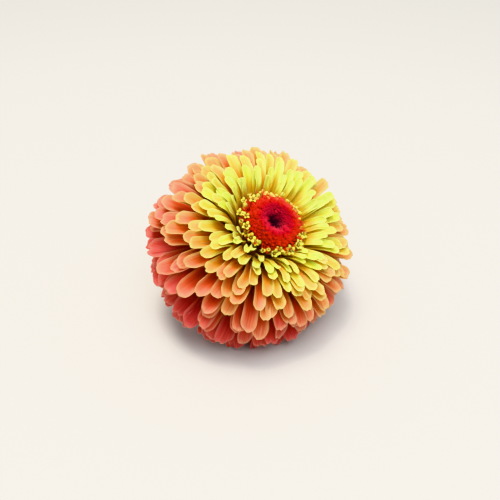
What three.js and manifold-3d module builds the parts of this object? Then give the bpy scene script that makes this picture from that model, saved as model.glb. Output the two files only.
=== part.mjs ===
// A double zinnia bloom, picked with a short piece of its stem and lying on a flat surface.
// It leans over until it rests on the cut end of the stem and on the tips of its lowest petals.
//
// The flower is modelled in its own frame, with +Z along its axis and z = 0 at the widest ring of
// petal tips, and one group leans it over. Millimetres throughout, and degrees where a name says so.
import * as THREE from "three";
import { mergeVertices } from "three/addons/utils/BufferGeometryUtils.js";
import Module from "manifold-3d";

const wasm = await Module();
wasm.setup();
const { degToRad, lerp, smoothstep } = THREE.MathUtils;
const AXIS = new THREE.Vector3(0, 0, 1);
const GAP = 0.3; // between neighbouring parts
const GOLDEN_ANGLE_DEG = 137.508; // turn from each petal, scale or bud to the next

// ---- how the flower lies ----
const LEAN_DEG = 35; // the axis off the vertical, with the face towards -Y
const AXIS_HEIGHT = 32.2; // the flower's own origin above the surface
const PRESS = 0.25; // how much of a lowest tip is pressed flat by the surface
const LIFT_STEP_DEG = 0.25; // a petal in the way of the surface is bent up in such steps
const MOST_LIFT_DEG = 60;

// ---- bloom: every petal tip lies on one ring-shaped dome ----
const BLOOM_RADIUS = 43;
const OVAL_SHARE = 0.024; // the bloom is a little wider one way than the other
const OVAL_TURN_DEG = 0; // direction of its longer way
const DOME_SQUARENESS = 2.2; // 2 is a round profile, and more is fuller at its shoulders
const CREST_RADIUS = 22; // radius of the dome's highest ring
const CREST_HEIGHT = 26; // that ring above the widest one
const LOWEST_TIP_DEG = -50; // how far round the dome the oldest tips lie, from its widest ring
const HIGHEST_TIP_DEG = 95; // and the youngest
const TIP_WANDER_DEG = 3.6;
const REACH_WANDER = 0.028;
const TURN_WANDER_DEG = 5;

// ---- core that the petals grow from, and the tiers of petals up it ----
const CORE_RADIUS = 12;
const CORE_SIDES = 24;
const CORE_BOTTOM = -14.2;
const CORE_TOP = 14;
const CLEAR_BELOW_SEAM = 2.6; // the last root of a tier under the tier above
const CLEAR_ABOVE_SEAM = 1.1; // the first root of a tier over the tier below
const TIERS = [
  { name: "ray_petals_coral", petals: 66, colour: 0xd4565a },
  { name: "ray_petals_orange", petals: 66, colour: 0xef9459 },
  { name: "ray_petals_yellow", petals: 84, colour: 0xe4d659 },
];
const PETALS = TIERS.reduce((sum, tier) => sum + tier.petals, 0);

// ---- one petal ----
const OLDEST_HALF_WIDTH = 4.3;
const YOUNGEST_HALF_WIDTH = 1.2;
const NARROWING = 1.15; // the power of a petal's youth by which the petals grow narrower
const PETAL_HALF_THICKNESS = 0.36;
const PETAL_STATIONS = [0.3, 0.66, 0.9, 0.985]; // shares of its length
const CLAW_SHARE = 0.36; // width of the narrow root over the widest part
const WIDEST_AT = 0.7;
const TIP_ROUNDNESS = 7;
const ROOT_SINK = 1.2;
const OLDEST_ARCH = 0.4; // height of the bend over the straight line from root to tip
const YOUNGEST_ARCH = 0.2;
const CUP_SHARE = 0.3; // rise of the edges over the middle, as a share of the half width
const SWEEP_SHARE = 0.07; // most that a tip bends aside, as a share of the length
const MOST_TWIST_DEG = 14;

// ---- disc: a cushion of red chaff tips with a dimple, and a ring of open yellow florets ----
const DISC_RADIUS = 11;
const DISC_RIM_RADIUS = 7;
const DISC_RIM_HEIGHT = 25.6;
const DISC_EDGE_HEIGHT = 22.2;
const DIMPLE_HEIGHT = 20;
const DISC_FOOT = { r: 6.6, z: 15.6 };
const CUSHION_RINGS = [1, 0.85, 0.7, 0.52, 0.35, 0.17]; // shares of its radius, from its edge in
const CHAFF_TIPS = 62;
const CHAFF_TIP = { foot: 1.05, tip: 0.4, height: 1.9, sink: 0.6, sides: 4, leanShare: 0.7 };
const RING_PLATE = { radius: 10.8, bottom: 14.3, top: 15.2 };
const RING_FLORETS = 36;
const RING_FLORET = { foot: 0.5, throat: 0.55, mouth: 0.95, flareAt: 0.78 };
const RING_FOOT_RADIUS = 10;
const RING_MOUTHS = [
  { r: 12.9, z: 23.2 },
  { r: 13.9, z: 21.8 },
];

// ---- involucre: a green cup covered with overlapping scales ----
const CUP_PROFILE = [
  { r: 2.7, z: -28.6 },
  { r: 6.4, z: -26.8 },
  { r: 9.8, z: -23.4 },
  { r: 11.6, z: -18.8 },
  { r: 12, z: -14.5 },
];
const SCALE_ROWS = [
  { scales: 7, foot: 0.1, tip: 0.5 },
  { scales: 10, foot: 0.32, tip: 0.74 },
  { scales: 12, foot: 0.55, tip: 0.98 },
];
const SCALE_HALF_WIDTH_SHARE = 0.62; // of the spacing between scales of a row
const SCALE_LIFT = 0.75; // tip of a scale off the cup
const SCALE_HALF_THICKNESS = 0.4;

// ---- stem ----
const STEM_TOP = -28.9;
const STEM_RADIUS_TOP = 2.7;
const STEM_RADIUS_CUT = 2.3;
const STEM_RIBS = 9;
const STEM_RIB_HEIGHT = 0.16;
const STEM_OVERRUN = 8; // past the surface, before the surface cuts it

// A repeatable draw between -1 and 1, one for each index and use.
function draw(index, use) {
  const s = Math.sin(index * 12.9898 + use * 78.233) * 43758.5453;
  return 2 * (s - Math.floor(s)) - 1;
}

// The solid inside a closed surface.
function solidOf(geometry) {
  const bare = new THREE.BufferGeometry().setAttribute("position", geometry.getAttribute("position"));
  const merged = mergeVertices(bare.setIndex(geometry.getIndex()), 1e-4);
  const corners = merged.getIndex().array;
  const triVerts = [];
  for (let i = 0; i < corners.length; i += 3) {
    const [a, b, c] = corners.subarray(i, i + 3);
    if (a !== b && b !== c && c !== a) triVerts.push(a, b, c);
  }
  const vertProperties = new Float32Array(merged.getAttribute("position").array);
  return new wasm.Manifold(new wasm.Mesh({ numProp: 3, vertProperties, triVerts: new Uint32Array(triVerts) }));
}

// Joins solids into one body: a hollow sealed in among them is filled, and a loose scrap dropped.
function fused(solids) {
  const shells = wasm.Manifold.union(solids).decompose();
  return shells.reduce((largest, shell) => (shell.volume() > largest.volume() ? shell : largest));
}

// A solid skinned over rings of points, which run anticlockwise as seen from its far end.
// The diagonals alternate, so that both faces of a thin blade are split alike.
function loft(rings) {
  const sides = rings[0].length;
  const last = (rings.length - 1) * sides;
  const corners = [];
  for (let j = 0; j + 1 < rings.length; j++) {
    for (let k = 0; k < sides; k++) {
      const a = j * sides + k;
      const b = j * sides + ((k + 1) % sides);
      const [c, d] = [b + sides, a + sides];
      corners.push(...(k % 2 ? [a, b, d, b, c, d] : [a, b, c, a, c, d]));
    }
  }
  for (let k = 1; k + 1 < sides; k++) corners.push(0, k + 1, k, last, last + k, last + k + 1);
  const geometry = new THREE.BufferGeometry().setFromPoints(rings.flat());
  return solidOf(geometry.setIndex(corners));
}

// A solid of revolution about the flower's axis, from a profile of { r, z } rising up it.
function turned(profile, sides = CORE_SIDES) {
  const ends = [{ r: 0, z: profile[0].z }, ...profile, { r: 0, z: profile.at(-1).z }];
  const points = ends.map(({ r, z }) => new THREE.Vector2(r, z));
  return solidOf(new THREE.LatheGeometry(points, sides).rotateX(Math.PI / 2));
}

const placeOnSurface = new THREE.Matrix4().makeRotationX(degToRad(LEAN_DEG)).setPosition(0, 0, AXIS_HEIGHT);

function heightOverSurface(point) {
  return point.clone().applyMatrix4(placeOnSurface).z;
}

// Cuts off whatever reaches under the surface.
function trimmedBySurface(solid) {
  const size = 4 * BLOOM_RADIUS;
  const under = new THREE.BoxGeometry(size, size, size).translate(0, 0, -size / 2);
  return solid.subtract(solidOf(under.applyMatrix4(placeOnSurface.clone().invert())));
}

// Four points of a blade's lens-shaped section: right edge, upper face, left edge, lower face.
// The section stands across the blade's own direction, which rises at `slope`.
function lensRing({ r, z, slope, halfWidth, halfThickness, cup, aside = 0, twist = 0 }, turn) {
  const point = (across, up) => {
    const side = across * Math.cos(twist) - up * Math.sin(twist);
    const lift = across * Math.sin(twist) + up * Math.cos(twist);
    const place = new THREE.Vector3(r - Math.sin(slope) * lift, aside + side, z + Math.cos(slope) * lift);
    return place.applyAxisAngle(AXIS, turn);
  };
  return [point(halfWidth, cup), point(0, halfThickness), point(-halfWidth, cup), point(0, -halfThickness)];
}

// Width of a petal along its length: a narrow claw, a broad blade and a round tip.
function petalWidthShare(u) {
  const blade = lerp(CLAW_SHARE, 1, smoothstep(u, 0, WIDEST_AT));
  return blade * Math.pow(1 - Math.pow(u, TIP_ROUNDNESS), 0.45);
}

// What sets one petal: where it grows, where its tip lies and how it is bent and turned.
function petalPlan(index, rootHeight) {
  const youth = index / (PETALS - 1);
  const spread = youth * (1.25 - 0.25 * youth);
  const round = degToRad(lerp(LOWEST_TIP_DEG, HIGHEST_TIP_DEG, spread) + TIP_WANDER_DEG * draw(index, 1));
  const turn = degToRad(index * GOLDEN_ANGLE_DEG + TURN_WANDER_DEG * draw(index, 3));
  const oval = OVAL_SHARE * Math.cos(2 * (turn - degToRad(OVAL_TURN_DEG)));
  const reach = 1 + REACH_WANDER * draw(index, 2) + oval;
  const squared = (x) => Math.sign(x) * Math.pow(Math.abs(x), 2 / DOME_SQUARENESS);
  const root = new THREE.Vector2(CORE_RADIUS, rootHeight);
  const tip = new THREE.Vector2(
    (CREST_RADIUS + (BLOOM_RADIUS - CREST_RADIUS) * squared(Math.cos(round))) * reach,
    CREST_HEIGHT * squared(Math.sin(round)) * reach,
  );
  return {
    root,
    tip,
    arch: lerp(OLDEST_ARCH, YOUNGEST_ARCH, youth * youth),
    halfWidth: lerp(OLDEST_HALF_WIDTH, YOUNGEST_HALF_WIDTH, Math.pow(youth, NARROWING)),
    turn,
    sweep: SWEEP_SHARE * draw(index, 4),
    twist: degToRad(MOST_TWIST_DEG) * draw(index, 5),
    cup: CUP_SHARE * (1 + 0.4 * draw(index, 6)),
  };
}

// The sections of a petal whose tip is raised by `lift` about its root.
function petalRings(plan, lift) {
  const chord = plan.tip.clone().sub(plan.root).rotateAround(new THREE.Vector2(), lift);
  const tip = plan.root.clone().add(chord);
  const bend = new THREE.Vector2(-chord.y, chord.x).multiplyScalar(plan.arch).addScaledVector(chord, 0.5);
  const line = new THREE.QuadraticBezierCurve(plan.root, bend.add(plan.root), tip);
  const claw = {
    r: plan.root.x - ROOT_SINK,
    z: plan.root.y,
    slope: 0,
    halfWidth: plan.halfWidth * CLAW_SHARE,
    halfThickness: PETAL_HALF_THICKNESS,
    cup: 0,
  };
  const blade = PETAL_STATIONS.map((u) => {
    const place = line.getPoint(u);
    const along = line.getTangent(u);
    const halfWidth = plan.halfWidth * petalWidthShare(u);
    return {
      r: place.x,
      z: place.y,
      slope: Math.atan2(along.y, along.x),
      halfWidth,
      halfThickness: PETAL_HALF_THICKNESS * (u > WIDEST_AT ? 0.85 : 1),
      cup: plan.cup * halfWidth,
      aside: plan.sweep * chord.length() * u * u,
      twist: plan.twist * u,
    };
  });
  return [claw, ...blade].map((station) => lensRing(station, plan.turn));
}

// A petal that would reach under the surface is bent up until only its tip is pressed on it.
function petal(index, rootHeight) {
  const plan = petalPlan(index, rootHeight);
  let lift = 0;
  let rings = petalRings(plan, lift);
  const sunk = () => Math.min(...rings.flat().map(heightOverSurface)) < -PRESS;
  while (sunk() && lift < MOST_LIFT_DEG) {
    lift += LIFT_STEP_DEG;
    rings = petalRings(plan, degToRad(lift));
  }
  return loft(rings);
}

// The tiers stack up the core, each as tall as its share of the petals.
function petalTier(tier, before) {
  const height = (count) => lerp(CORE_BOTTOM, CORE_TOP, count / PETALS);
  const bottom = height(before) + (before ? GAP : 0);
  const top = height(before + tier.petals);
  const core = turned([
    { r: CORE_RADIUS, z: bottom },
    { r: CORE_RADIUS, z: top },
  ]);
  const petals = Array.from({ length: tier.petals }, (_, k) => {
    const rootHeight = lerp(bottom + CLEAR_ABOVE_SEAM, top - CLEAR_BELOW_SEAM, k / (tier.petals - 1));
    return petal(before + k, rootHeight);
  });
  return fused([trimmedBySurface(fused([core, ...petals]))]);
}

// Height of the red cushion over its foot: up to a round rim, and down into the dimple.
function cushionHeight(r) {
  if (r > DISC_RIM_RADIUS) {
    const fall = (r - DISC_RIM_RADIUS) / (DISC_RADIUS - DISC_RIM_RADIUS);
    return lerp(DISC_RIM_HEIGHT, DISC_EDGE_HEIGHT, fall * fall);
  }
  return lerp(DIMPLE_HEIGHT, DISC_RIM_HEIGHT, smoothstep(r, 0, DISC_RIM_RADIUS));
}

// A tapered tip or tube of `radii` at `places` along a line that leans outwards by `lean`.
function spindle(radii, places, sides, turn, lean) {
  const rings = radii.map((radius, j) =>
    Array.from({ length: sides }, (_, k) => {
      const round = (2 * Math.PI * k) / sides;
      const point = new THREE.Vector3(radius * Math.cos(round), radius * Math.sin(round), 0);
      point.applyAxisAngle(new THREE.Vector3(0, 1, 0), lean);
      return point.add(new THREE.Vector3(places[j].r, 0, places[j].z)).applyAxisAngle(AXIS, turn);
    }),
  );
  return loft(rings);
}

function discChaff() {
  const top = CUSHION_RINGS.map((share) => ({ r: share * DISC_RADIUS, z: cushionHeight(share * DISC_RADIUS) }));
  const cushion = turned([DISC_FOOT, ...top]);
  const tips = Array.from({ length: CHAFF_TIPS }, (_, k) => {
    const r = (DISC_RADIUS - CHAFF_TIP.foot) * Math.sqrt((k + 0.5) / CHAFF_TIPS);
    const slope = Math.atan2(cushionHeight(r + GAP) - cushionHeight(r - GAP), 2 * GAP);
    const lean = -slope * CHAFF_TIP.leanShare;
    const along = (distance) => ({
      r: r + Math.sin(lean) * distance,
      z: cushionHeight(r) + Math.cos(lean) * distance,
    });
    const places = [along(-CHAFF_TIP.sink), along(CHAFF_TIP.height - CHAFF_TIP.sink)];
    const turn = degToRad(k * GOLDEN_ANGLE_DEG);
    return spindle([CHAFF_TIP.foot, CHAFF_TIP.tip], places, CHAFF_TIP.sides, turn, lean);
  });
  return fused([cushion, ...tips]);
}

function openDiscFlorets() {
  const plate = turned([
    { r: RING_PLATE.radius, z: RING_PLATE.bottom },
    { r: RING_PLATE.radius, z: RING_PLATE.top },
  ]);
  const florets = Array.from({ length: RING_FLORETS }, (_, k) => {
    const mouth = RING_MOUTHS[k % RING_MOUTHS.length];
    const foot = { r: RING_FOOT_RADIUS, z: RING_PLATE.bottom + GAP };
    const throat = {
      r: lerp(foot.r, mouth.r, RING_FLORET.flareAt),
      z: lerp(foot.z, mouth.z, RING_FLORET.flareAt),
    };
    const lean = Math.atan2(mouth.r - foot.r, mouth.z - foot.z);
    const radii = [RING_FLORET.foot, RING_FLORET.throat, RING_FLORET.mouth];
    const turn = (2 * Math.PI * (k + 0.2 * draw(k, 7))) / RING_FLORETS;
    return spindle(radii, [foot, throat, mouth], 5, turn, lean);
  });
  return fused([plate, ...florets]);
}

// A point on the cup's outside, `share` of the way up its profile, and its slope there.
function onCup(share) {
  const reach = share * (CUP_PROFILE.length - 1);
  const k = Math.min(Math.floor(reach), CUP_PROFILE.length - 2);
  const [low, high] = [CUP_PROFILE[k], CUP_PROFILE[k + 1]];
  return {
    r: lerp(low.r, high.r, reach - k),
    z: lerp(low.z, high.z, reach - k),
    slope: Math.atan2(high.z - low.z, high.r - low.r),
  };
}

// One scale: a rounded blade that lies up the cup and stands off it towards its tip.
function cupScale(row, k) {
  const spacing = (2 * Math.PI) / row.scales;
  const turn = spacing * (k + 0.5 * (row.scales % 2) + 0.12 * draw(k, row.scales));
  const widths = [0.7, 1, 0.45];
  const rings = widths.map((width, j) => {
    const u = j / (widths.length - 1);
    const place = onCup(lerp(row.foot, row.tip, [0, 0.6, 1][j]));
    const lift = lerp(-0.3, SCALE_LIFT, u);
    const halfWidth = width * SCALE_HALF_WIDTH_SHARE * spacing * (place.r + 1);
    return lensRing(
      {
        r: place.r + Math.sin(place.slope) * lift,
        z: place.z - Math.cos(place.slope) * lift,
        slope: place.slope,
        halfWidth,
        halfThickness: SCALE_HALF_THICKNESS,
        cup: (halfWidth * halfWidth) / (2 * (place.r + 1)),
      },
      turn,
    );
  });
  return loft(rings);
}

function involucre() {
  const scales = SCALE_ROWS.flatMap((row) => Array.from({ length: row.scales }, (_, k) => cupScale(row, k)));
  return fused([turned(CUP_PROFILE), ...scales]);
}

// A ribbed stem, cut off by the surface it lies on.
function stem() {
  const bottom = -AXIS_HEIGHT / Math.cos(degToRad(LEAN_DEG)) - STEM_OVERRUN;
  const ends = [
    { radius: STEM_RADIUS_CUT, z: bottom },
    { radius: STEM_RADIUS_TOP, z: STEM_TOP },
  ];
  const points = 2 * STEM_RIBS;
  const rings = ends.map(({ radius, z }) =>
    Array.from({ length: points }, (_, k) => {
      const r = radius + (k % 2 ? -STEM_RIB_HEIGHT : STEM_RIB_HEIGHT);
      return new THREE.Vector3(r, 0, z).applyAxisAngle(AXIS, (2 * Math.PI * k) / points);
    }),
  );
  return trimmedBySurface(loft(rings));
}

function meshOf(name, solid, colour) {
  const { vertProperties, triVerts } = solid.getMesh();
  const geometry = new THREE.BufferGeometry()
    .setAttribute("position", new THREE.BufferAttribute(vertProperties, 3))
    .setIndex(new THREE.BufferAttribute(triVerts, 1));
  const look = { color: colour, roughness: 0.7, metalness: 0, flatShading: true };
  const mesh = new THREE.Mesh(geometry, new THREE.MeshStandardMaterial(look));
  mesh.name = name;
  return mesh;
}

const flower = new THREE.Group();
flower.add(meshOf("stem", stem(), 0x7f9a4e));
flower.add(meshOf("involucre", involucre(), 0x6f8f45));
let before = 0;
for (const tier of TIERS) {
  flower.add(meshOf(tier.name, petalTier(tier, before), tier.colour));
  before += tier.petals;
}
flower.add(meshOf("open_disc_florets", openDiscFlorets(), 0xe8e07a));
flower.add(meshOf("disc_chaff", discChaff(), 0xc41e20));
flower.applyMatrix4(placeOnSurface);

export default flower;
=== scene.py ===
"""A picked double zinnia bloom, dressed petal by petal around its solid model."""

import math
from types import SimpleNamespace

import bpy
import numpy as np
from bpy.props import FloatProperty, FloatVectorProperty, IntProperty, PointerProperty
from mathutils import Matrix, Vector


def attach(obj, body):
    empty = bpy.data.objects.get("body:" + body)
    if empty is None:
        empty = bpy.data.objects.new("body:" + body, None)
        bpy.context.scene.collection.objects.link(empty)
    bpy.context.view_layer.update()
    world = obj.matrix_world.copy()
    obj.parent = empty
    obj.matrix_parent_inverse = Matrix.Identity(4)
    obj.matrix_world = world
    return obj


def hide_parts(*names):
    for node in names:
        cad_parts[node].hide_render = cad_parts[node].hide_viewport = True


bl_info = {
    "name": "Zinnia bloom",
    "version": (1, 0, 0),
    "blender": (4, 5, 0),
    "location": "3D View > Sidebar > Zinnia",
    "description": "Dresses the solid model of a picked double zinnia, petal by petal",
    "category": "Add Mesh",
}

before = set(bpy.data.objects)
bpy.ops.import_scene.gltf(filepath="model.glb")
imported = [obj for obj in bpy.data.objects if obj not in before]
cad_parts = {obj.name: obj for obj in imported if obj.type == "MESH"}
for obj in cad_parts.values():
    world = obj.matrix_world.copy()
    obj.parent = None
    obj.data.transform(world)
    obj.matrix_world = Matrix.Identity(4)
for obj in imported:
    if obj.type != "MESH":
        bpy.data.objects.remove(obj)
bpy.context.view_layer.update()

MM = 0.001
GOLDEN_ANGLE = math.radians(137.508)
BODY = "root"


def linear(hex_colour):
    """The linear RGBA of an sRGB hex colour."""
    parts = [int(hex_colour[k : k + 2], 16) / 255 for k in (1, 3, 5)]
    rgb = [p / 12.92 if p <= 0.04045 else ((p + 0.055) / 1.055) ** 2.4 for p in parts]
    return (*rgb, 1.0)


def length(name, description, default):
    return FloatProperty(name=name, description=description, default=default, unit="LENGTH")


def angle(name, description, default):
    return FloatProperty(
        name=name, description=description, default=math.radians(default), subtype="ANGLE"
    )


def share(name, description, default):
    return FloatProperty(name=name, description=description, default=default, subtype="FACTOR")


def number(name, description, default):
    return FloatProperty(name=name, description=description, default=default)


def count(name, description, default):
    return IntProperty(name=name, description=description, default=default, min=1)


def colour(name, description, default):
    return FloatVectorProperty(
        name=name, description=description, default=linear(default), size=4, subtype="COLOR"
    )


class ZinniaPose(bpy.types.PropertyGroup):
    lean: angle("Lean", "Flower's axis off the vertical, with the face towards -Y", 35)
    height: length("Axis height", "Flower's own origin over the surface", 32.2 * MM)
    press: length("Press", "How much of a lowest tip is pressed flat by the surface", 0.25 * MM)


class ZinniaBloom(bpy.types.PropertyGroup):
    radius: length("Bloom radius", "Widest ring of petal tips", 43 * MM)
    oval: share("Oval", "How much wider the bloom is one way than the other", 0.024)
    squareness: number("Squareness", "2 is a round dome, and more is fuller at its shoulders", 2.2)
    crest_radius: length("Crest radius", "Radius of the dome's highest ring", 22 * MM)
    crest_height: length("Crest height", "Highest ring over the widest one", 26 * MM)
    lowest: angle("Oldest tips", "How far round the dome the oldest tips lie", -50)
    highest: angle("Youngest tips", "How far round the dome the youngest tips lie", 95)
    core_radius: length("Core radius", "Radius of the core that petals grow from", 12 * MM)
    core_bottom: length("Core bottom", "Underside of the core", -14.2 * MM)
    core_top: length("Core top", "Top of the core", 14 * MM)
    oldest_half_width: length("Oldest half width", "Half the width of the oldest petal", 4.3 * MM)
    youngest_half_width: length("Youngest half width", "Half the width of the youngest petal", 1.2 * MM)
    narrowing: number("Narrowing", "Power of a petal's youth by which petals grow narrower", 1.15)
    thickness: length("Petal thickness", "Thickness of a petal along its middle", 0.42 * MM)
    claw: share("Claw", "Width of a petal's narrow root over its widest part", 0.36)
    oldest_arch: share("Oldest arch", "Bend of the oldest petal over its straight line", 0.4)
    youngest_arch: share("Youngest arch", "Bend of the youngest petal over its straight line", 0.2)
    cup: share("Cup", "Rise of a petal's edges, over its half width", 0.3)
    added_after: count("Added after", "One petal is added after this many of the solid model's", 2)
    lime_side: angle("Lime side", "Direction in which the petals keep their young colours longest", 45)
    lime_lead: share("Lime lead", "How much younger petals look there, as a share of all ages", 0.085)


class ZinniaDisc(bpy.types.PropertyGroup):
    radius: length("Disc radius", "Edge of the red cushion", 11 * MM)
    rim_radius: length("Rim radius", "Highest ring of the cushion", 7 * MM)
    rim_height: length("Rim height", "Height of that ring", 25.6 * MM)
    edge_height: length("Edge height", "Height of the cushion at its edge", 22.2 * MM)
    dimple_height: length("Dimple height", "Height of the cushion in its middle", 20 * MM)
    chaff: count("Chaff", "Number of fringed bracts on the cushion", 560)
    flank_chaff: count("Flank chaff", "Number of longer bracts round the cushion's flank", 165)
    florets: count("Open florets", "Number of open florets in the ring", 36)
    floret_mouth: length("Floret mouth", "Radius of an open floret's star", 1.8 * MM)


class ZinniaGreens(bpy.types.PropertyGroup):
    scale_lift: length("Scale lift", "Tip of a scale off the cup", 0.9 * MM)
    stem_radius_top: length("Stem radius", "Radius of the stem under the cup", 2.7 * MM)
    stem_radius_cut: length("Cut radius", "Radius of the stem at its cut", 2.3 * MM)
    stem_top: length("Stem top", "Where the stem meets the cup", -28.9 * MM)
    hairs: count("Hairs", "Number of hairs on the stem", 520)
    hair_length: length("Hair length", "Length of a stem hair", 1.1 * MM)


class ZinniaColours(bpy.types.PropertyGroup):
    tip_1: colour("Tip 1", "Tips of the outermost petals", "#D4524E")
    tip_2: colour("Tip 2", "Tips of the coral petals", "#E06C56")
    tip_3: colour("Tip 3", "Tips of the salmon petals", "#EE9664")
    tip_4: colour("Tip 4", "Tips of the orange petals", "#EEAE64")
    tip_5: colour("Tip 5", "Tips of the yellow petals", "#ECC850")
    tip_6: colour("Tip 6", "Tips of the innermost petals", "#D8EC54")
    blade_1: colour("Blade 1", "Blades of the outermost petals", "#B82C2A")
    blade_2: colour("Blade 2", "Blades of the coral petals", "#CA3E28")
    blade_3: colour("Blade 3", "Blades of the salmon petals", "#DC5A2E")
    blade_4: colour("Blade 4", "Blades of the orange petals", "#E47828")
    blade_5: colour("Blade 5", "Blades of the yellow petals", "#EEC238")
    blade_6: colour("Blade 6", "Blades of the innermost petals", "#D6DE40")
    base_1: colour("Base 1", "Bases of the coral petals", "#8E1C18")
    base_2: colour("Base 2", "Bases of the orange petals", "#B03214")
    base_3: colour("Base 3", "Bases of the yellow petals", "#DC7820")
    base_4: colour("Base 4", "Bases of the innermost petals", "#DCB032")
    # The root colours are partly the claws' own deep red and partly painted shade, for where the claws lie
    # deep between the petals.
    root_1: colour("Root 1", "Claws of the coral petals, deep in the bloom", "#8C2216")
    root_2: colour("Root 2", "Claws of the yellow petals, deep in the bloom", "#B8481C")
    # The rim colours are partly the petals' own paler margins and partly a painted highlight along their
    # edges.
    rim_1: colour("Rim 1", "Pale rims of the outermost petals", "#D86C66")
    rim_2: colour("Rim 2", "Pale rims of the salmon petals", "#F2AE84")
    rim_3: colour("Rim 3", "Pale rims of the orange petals", "#F5CC7E")
    rim_4: colour("Rim 4", "Pale rims of the innermost petals", "#ECF67E")
    chaff_outer: colour("Outer chaff", "Fringed tips near the disc's edge", "#EE3E20")
    chaff_flank: colour("Flank chaff", "Fringed tips among the open florets", "#C8361E")
    chaff_inner: colour("Inner chaff", "Fringed tips near the dimple", "#DC2440")
    chaff_middle: colour("Middle chaff", "Closed tips in the dimple", "#3E0620")
    floret: colour("Floret", "Lobes of the open florets", "#DADA3C")
    scale_green: colour("Scale green", "Green of the cup's scales", "#6E8F45")
    scale_edge: colour("Scale edge", "Dark margin of the cup's scales", "#2E2216")
    stem_green: colour("Stem green", "Green of the stem", "#7F9A4E")
    floor: colour("Floor", "Plain floor under the flower", "#DEDBD5")


class ZinniaStage(bpy.types.PropertyGroup):
    azimuth: angle("Camera azimuth", "Turn of the camera round the flower", -46.8)
    elevation: angle("Camera elevation", "Height of the camera's line of sight", 35.9)
    aim_right: length("Aim right", "Camera's aim, to the right of the flower's origin", 0.2 * MM)
    aim_up: length("Aim up", "Camera's aim, over the flower's origin", -1.15 * MM)
    distance: length("Camera distance", "From the flower's middle to the camera", 375 * MM)
    focal: number("Focal length", "In millimetres, on a 36 mm sensor", 64)
    floor_size: length("Floor size", "Side of the square floor", 3.0)
    key: number("Key light", "Power of the key light in watts", 5.0)
    key_size: length("Key size", "Diameter of the key light", 0.35)
    fill: number("Fill light", "Power of the fill light in watts", 4.5)
    fill_size: length("Fill size", "Diameter of the fill light", 0.6)
    sky: number("Sky", "Strength of the even light from all sides", 0.6)


# ---- placing and meshing ----


def draw(index, use):
    """A repeatable draw between -1 and 1, one for each index and use."""
    s = math.sin(index * 12.9898 + use * 78.233) * 43758.5453
    return 2 * (s - math.floor(s)) - 1


def lerp(a, b, t):
    return a + (b - a) * t


def smoothstep(x, low=0.0, high=1.0):
    t = np.clip((x - low) / (high - low), 0, 1)
    return t * t * (3 - 2 * t)


def on_surface(points):
    """Points of the flower's own frame, moved to where the leaning flower lies."""
    pose = bpy.context.scene.zinnia_pose
    turn = np.array(Matrix.Rotation(pose.lean, 3, "X"))
    return points @ turn.T + np.array([0, 0, pose.height])


def turned_about_axis(points, turn):
    c, s = math.cos(turn), math.sin(turn)
    x, y, z = points[..., 0], points[..., 1], points[..., 2]
    return np.stack([c * x - s * y, s * x + c * y, z], axis=-1)


class Heap:
    """Points, faces and per-point values of many small shapes that become one mesh."""

    def __init__(self):
        self.points = []
        self.faces = []
        self.values = {}
        self.size = 0

    def add(self, points, faces, **values):
        points = np.asarray(points, float).reshape(-1, 3)
        self.points.append(points)
        self.faces.extend([[int(k) + self.size for k in face] for face in faces])
        for name, value in values.items():
            filled = np.broadcast_to(np.asarray(value, float).reshape(-1), (len(points),))
            self.values.setdefault(name, []).append(filled)
        self.size += len(points)

    def piece(self, name, material, node, slot, floor=False):
        """Makes the mesh object, which stands for a node of the solid model and moves with its body."""
        points = on_surface(np.concatenate(self.points))
        if floor:
            points[:, 2] = np.maximum(points[:, 2], 0.02 * MM)
        mesh = bpy.data.meshes.new(name)
        mesh.from_pydata(points.tolist(), [], self.faces)
        mesh.shade_smooth()
        for key, parts in self.values.items():
            mesh.attributes.new(key, "FLOAT", "POINT").data.foreach_set("value", np.concatenate(parts))
        mesh.materials.append(material)
        mesh.validate()
        piece = bpy.data.objects.new(name, mesh)
        bpy.context.scene.collection.objects.link(piece)
        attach(piece, BODY)
        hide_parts(node)
        return piece


def blade_faces(rows, columns):
    """Quads of a closed blade whose upper and lower grids share their rim."""
    upper = np.arange(rows * columns).reshape(rows, columns)
    lower = upper.copy()
    inner = (rows - 2) * (columns - 2)
    lower[1:-1, 1:-1] = rows * columns + np.arange(inner).reshape(rows - 2, columns - 2)

    def quads(grid):
        corners = (grid[:-1, :-1], grid[1:, :-1], grid[1:, 1:], grid[:-1, 1:])
        return np.stack(corners, axis=-1).reshape(-1, 4)

    return np.concatenate([quads(upper), quads(lower)[:, ::-1]])


def blade(middle, half_thickness):
    """Points of a closed blade around its middle surface, upper grid first."""
    along = np.gradient(middle, axis=0)
    across = np.gradient(middle, axis=1)
    normal = np.cross(along, across)
    normal /= np.linalg.norm(normal, axis=-1, keepdims=True) + 1e-12
    offset = normal * half_thickness[..., None]
    offset[[0, -1], :] = 0
    offset[:, [0, -1]] = 0
    upper = (middle + offset).reshape(-1, 3)
    lower = (middle - offset)[1:-1, 1:-1].reshape(-1, 3)
    return np.concatenate([upper, lower])


def both_faces(grid):
    """Values of a blade's grid, for its upper points and then its lower ones."""
    return np.concatenate([grid.reshape(-1), grid[1:-1, 1:-1].reshape(-1)])


def tube_faces(rows, sides):
    """Faces between rings of points, with a cap on the first ring and on the last."""
    faces = []
    for j in range(rows - 1):
        for k in range(sides):
            a, b = j * sides + k, j * sides + (k + 1) % sides
            faces.append([a, b, b + sides, a + sides])
    faces.append(list(range(sides))[::-1])
    faces.append([(rows - 1) * sides + k for k in range(sides)])
    return faces


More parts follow.
